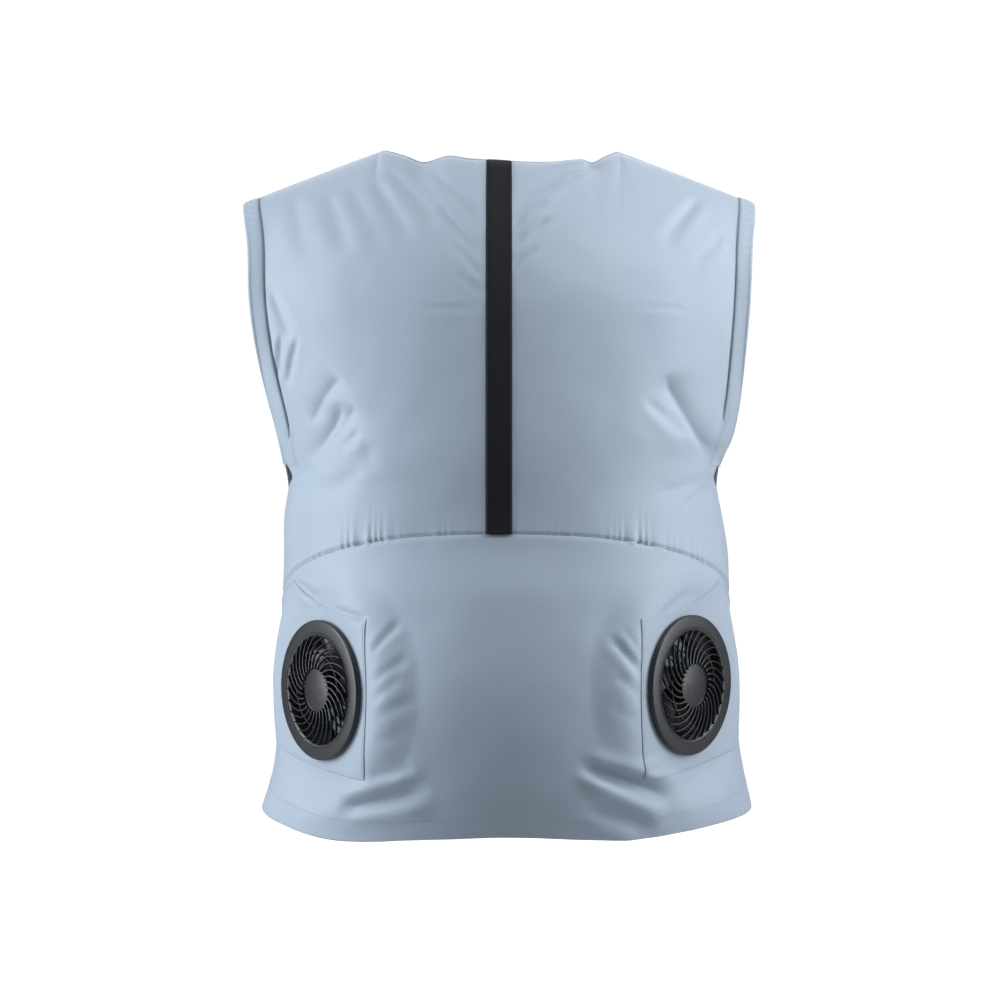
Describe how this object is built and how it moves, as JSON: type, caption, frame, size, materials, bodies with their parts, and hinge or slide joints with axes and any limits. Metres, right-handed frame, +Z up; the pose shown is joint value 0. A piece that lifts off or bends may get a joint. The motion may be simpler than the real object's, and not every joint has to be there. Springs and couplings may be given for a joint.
{
  "type": "fan-cooled work vest",
  "caption": "Sleeveless cloth work vest blown up round the body, with round intake fans in stitched patches low on the back and a tape down the centre back.",
  "frame": {"origin": "midway between the two points where the shoulders meet the neck, on the line of the shoulder seams", "axes": "+X to the wearer's right, +Y to the wearer's front, so the back faces -Y, +Z up along the body"},
  "size_m": [0.525, 0.3934, 0.681],
  "materials": {
    "shell_cloth": "light blue-grey poplin with a soft sheen",
    "side_mesh": "matt black knitted mesh",
    "black_tape": "matt black twill tape",
    "fan_plastic": "charcoal moulded plastic, fine satin texture",
    "impeller_plastic": "black moulded plastic, half gloss"
  },
  "bodies": {
    "vest": {"upper_back_panel": "shell_cloth", "lower_back_panel": "shell_cloth", "front_panel_left": "shell_cloth", "front_panel_right": "shell_cloth", "fan_patch_left": "shell_cloth", "fan_patch_right": "shell_cloth", "armhole_band_left": "shell_cloth", "armhole_band_right": "shell_cloth", "side_gusset_left": "side_mesh", "side_gusset_right": "side_mesh", "centre_back_tape": "black_tape", "front_zip": "black_tape", "fan_frame_left": "fan_plastic", "fan_frame_right": "fan_plastic", "fan_lock_ring_left": "fan_plastic", "fan_lock_ring_right": "fan_plastic", "fan_rear_guard_left": "fan_plastic", "fan_rear_guard_right": "fan_plastic"},
    "fan_rotor_left": {"fan_impeller_left": "impeller_plastic"},
    "fan_rotor_right": {"fan_impeller_right": "impeller_plastic"}
  },
  "joints": [
    {"name": "left_fan_spin", "type": "hinge", "parent": "vest", "child": "fan_rotor_left", "pos_m": [-0.16978, -0.129, -0.54027], "axis": [-0.7907, -0.6122, 0], "continuous": true},
    {"name": "right_fan_spin", "type": "hinge", "parent": "vest", "child": "fan_rotor_right", "pos_m": [0.18208, -0.12862, -0.53544], "axis": [0.7703, -0.6376, 0], "continuous": true}
  ]
}
